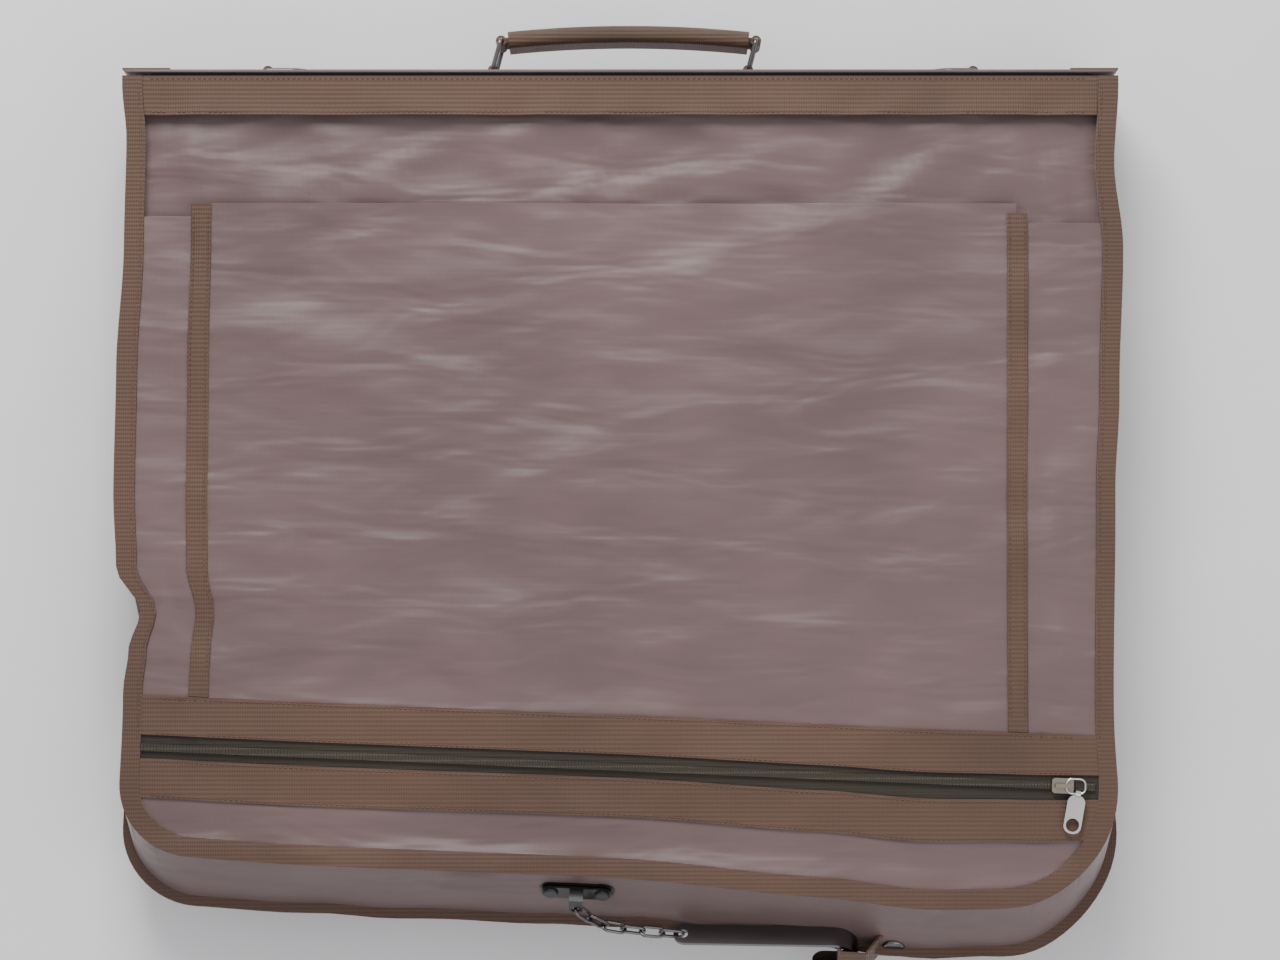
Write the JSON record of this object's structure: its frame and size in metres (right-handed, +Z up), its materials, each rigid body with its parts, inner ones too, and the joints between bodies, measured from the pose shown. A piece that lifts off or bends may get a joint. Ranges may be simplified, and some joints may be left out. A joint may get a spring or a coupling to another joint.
{
  "type": "folding garment bag",
  "caption": "Soft bi-fold garment bag, folded shut, with a padded carry handle, strap rings, front pockets and a closet hook on a chain",
  "frame": {"origin": "middle of the flat underside, under the centre of the rest face", "axes": "+X across the bag along the spine, +Y towards the carrying handle, +Z up as it lies"},
  "size_m": [0.606, 0.5818, 0.087],
  "materials": {
    "shell_cloth": "satin coated nylon",
    "lining_cloth": "plain lining",
    "webbing": "ribbed webbing",
    "binding": "ribbed binding tape",
    "zip_cloth": "zip tape",
    "zip_coil": "moulded coil",
    "handle_cloth": "padded grip",
    "foam": "closed-cell foam",
    "board": "stiffener",
    "gunmetal": "black nickel",
    "nickel": "polished nickel",
    "antique_metal": "tarnished",
    "black_metal": "black"
  },
  "bodies": {
    "hem_half": {"hem_outer_panel": "shell_cloth", "hem_spine_band": "webbing", "hem_outer_binding": "binding", "hem_gusset": "shell_cloth", "hem_inner_binding": "binding", "hem_inner_panel_left": "lining_cloth", "hem_inner_panel_right": "lining_cloth", "main_zip_hem": "zip_coil"},
    "spine": {"spine_panel": "shell_cloth", "spine_board": "board", "spine_corner_left": "binding", "spine_corner_right": "binding", "handle_tab_left": "webbing", "handle_tab_right": "webbing", "dring_tab_left": "webbing", "dring_tab_right": "webbing"},
    "hanger_half": {"hanger_gusset": "shell_cloth", "hanger_inner_binding": "binding", "hanger_outer_binding": "binding", "hanger_inner_panel_left": "lining_cloth", "hanger_inner_panel_right": "lining_cloth", "main_zip_hanger": "zip_coil", "front_panel": "shell_cloth", "spine_band_front": "webbing", "pocket_panel": "shell_cloth", "pocket_gusset_left": "shell_cloth", "pocket_gusset_right": "shell_cloth", "pocket_edge_tape_left": "webbing", "pocket_edge_tape_right": "webbing", "pocket_foot_seam": "shell_cloth", "zip_band_upper": "webbing", "zip_band_lower": "webbing", "pocket_zip_tape": "zip_cloth", "pocket_zip_coil": "zip_coil", "zip_pocket_panel": "shell_cloth", "hook_bracket": "black_metal", "bracket_rivets": "black_metal", "bracket_backing_plate": "black_metal", "hanger_bail": "gunmetal", "keeper_base": "webbing", "snap_stud": "antique_metal"},
    "main_slider": {"main_zip_slider": "antique_metal"},
    "main_pull": {"main_zip_pull": "nickel"},
    "front_slider": {"zip_slider": "antique_metal"},
    "front_ring": {"zip_pull_ring": "nickel"},
    "front_tab": {"zip_pull_tab": "nickel"},
    "link_1": {"chain_link_1": "gunmetal"},
    "link_2": {"chain_link_2": "gunmetal"},
    "link_3": {"chain_link_3": "gunmetal"},
    "link_4": {"chain_link_4": "gunmetal"},
    "link_5": {"chain_link_5": "gunmetal"},
    "link_6": {"chain_link_6": "gunmetal"},
    "hook": {"hook": "gunmetal"},
    "keeper": {"keeper_flap": "webbing", "snap_cap": "gunmetal"},
    "ring_left": {"handle_ring_left": "gunmetal"},
    "ring_right": {"handle_ring_right": "gunmetal"},
    "handle": {"handle_cover": "handle_cloth", "handle_core": "foam", "handle_webbing": "webbing"},
    "dring_left": {"d_ring_left": "gunmetal"},
    "dring_right": {"d_ring_right": "gunmetal"}
  },
  "joints": [
    {"name": "fold_lower", "type": "hinge", "parent": "hem_half", "child": "spine", "pos_m": [0, 0.258, 0], "axis": [-1, 0, 0], "range_deg": [0, 90]},
    {"name": "fold_upper", "type": "hinge", "parent": "spine", "child": "hanger_half", "pos_m": [0, 0.258, 0.082], "axis": [-1, 0, 0], "range_deg": [0, 90]},
    {"name": "handle_ring_left_swing", "type": "hinge", "parent": "spine", "child": "ring_left", "pos_m": [-0.0785, 0.2623, 0.041], "axis": [0, 0, 1], "range_deg": [-45, 75]},
    {"name": "handle_swing", "type": "hinge", "parent": "ring_left", "child": "handle", "pos_m": [-0.07358, 0.28065, 0.041], "axis": [0, 0, 1], "range_deg": [-75, 45]},
    {"name": "handle_ring_right_swing", "type": "hinge", "parent": "spine", "child": "ring_right", "pos_m": [0.0785, 0.2623, 0.041], "axis": [0, 0, 1], "range_deg": [-45, 75]},
    {"name": "d_ring_left_swing", "type": "hinge", "parent": "spine", "child": "dring_left", "pos_m": [-0.217, 0.2616, 0.041], "axis": [0, 0, 1], "range_deg": [0, 150]},
    {"name": "d_ring_right_swing", "type": "hinge", "parent": "spine", "child": "dring_right", "pos_m": [0.217, 0.2616, 0.041], "axis": [0, 0, -1], "range_deg": [0, 150]},
    {"name": "pocket_zip_slide", "type": "slide", "parent": "hanger_half", "child": "front_slider", "axis": [-0.9991, 0.0419, 0], "range_m": [0, 0.48]},
    {"name": "pocket_zip_ring_swing", "type": "hinge", "parent": "front_slider", "child": "front_ring", "pos_m": [0.26776, -0.17672, 0.0848], "axis": [-0.0419, -0.9991, 0], "range_deg": [0, 80]},
    {"name": "pocket_zip_tab_swing", "type": "hinge", "parent": "front_ring", "child": "front_tab", "pos_m": [0.27457, -0.18141, 0.0848], "axis": [-0.9991, 0.0419, 0], "range_deg": [0, 80]},
    {"name": "main_zip_slide", "type": "slide", "parent": "hem_half", "child": "main_slider", "axis": [0, 1, 0], "range_m": [0, 0.42]},
    {"name": "main_zip_pull_swing", "type": "hinge", "parent": "main_slider", "child": "main_pull", "pos_m": [0, -0.2134, 0.03985], "axis": [1, 0, 0], "range_deg": [0, 6]},
    {"name": "link_1_swing", "type": "hinge", "parent": "hanger_half", "child": "link_1", "pos_m": [-0.02682, -0.25058, 0.06881], "axis": [-0.0431, -0.8223, 0.5675], "range_deg": [-10, 0], "deforming": ["keeper_flap"]},
    {"name": "link_2_lift", "type": "hinge", "parent": "link_1", "child": "link_2", "pos_m": [-0.01915, -0.25594, 0.06161], "axis": [-0.0297, -0.5667, -0.8234], "range_deg": [0, 45], "deforming": ["keeper_flap"]},
    {"name": "link_3_swing", "type": "hinge", "parent": "link_2", "child": "link_3", "pos_m": [-0.01067, -0.26096, 0.05498], "axis": [-0.0431, -0.8223, 0.5675], "range_deg": [-15, 15], "deforming": ["keeper_flap"]},
    {"name": "link_4_lift", "type": "hinge", "parent": "link_3", "child": "link_4", "pos_m": [0.00071, -0.26314, 0.05269], "axis": [-0.0297, -0.5667, -0.8234], "range_deg": [0, 30], "deforming": ["keeper_flap"]},
    {"name": "link_5_swing", "type": "hinge", "parent": "link_4", "child": "link_5", "pos_m": [0.01235, -0.2646, 0.05146], "axis": [-0.0431, -0.8223, 0.5675], "range_deg": [-15, 15], "deforming": ["keeper_flap"]},
    {"name": "link_6_lift", "type": "hinge", "parent": "link_5", "child": "link_6", "pos_m": [0.02408, -0.26569, 0.05076], "axis": [-0.0297, -0.5667, -0.8234], "range_deg": [0, 30], "deforming": ["keeper_flap"]},
    {"name": "hook_swing", "type": "hinge", "parent": "link_6", "child": "hook", "pos_m": [0.03822, -0.26686, 0.05015], "axis": [-0.0297, -0.5667, -0.8234], "range_deg": [0, 20], "deforming": ["keeper_flap"]},
    {"name": "keeper_open", "type": "hinge", "parent": "hanger_half", "child": "keeper", "pos_m": [0.13352, -0.27045, 0.03993], "axis": [-0.0297, -0.5667, -0.8234], "range_deg": [0, 85], "deforming": ["keeper_flap"]}
  ],
  "couplings": [
    {"joint": "fold_upper", "follows": "fold_lower", "ratio": 1},
    {"joint": "handle_swing", "follows": "handle_ring_left_swing", "ratio": -1},
    {"joint": "handle_ring_right_swing", "follows": "handle_ring_left_swing", "ratio": 1}
  ]
}
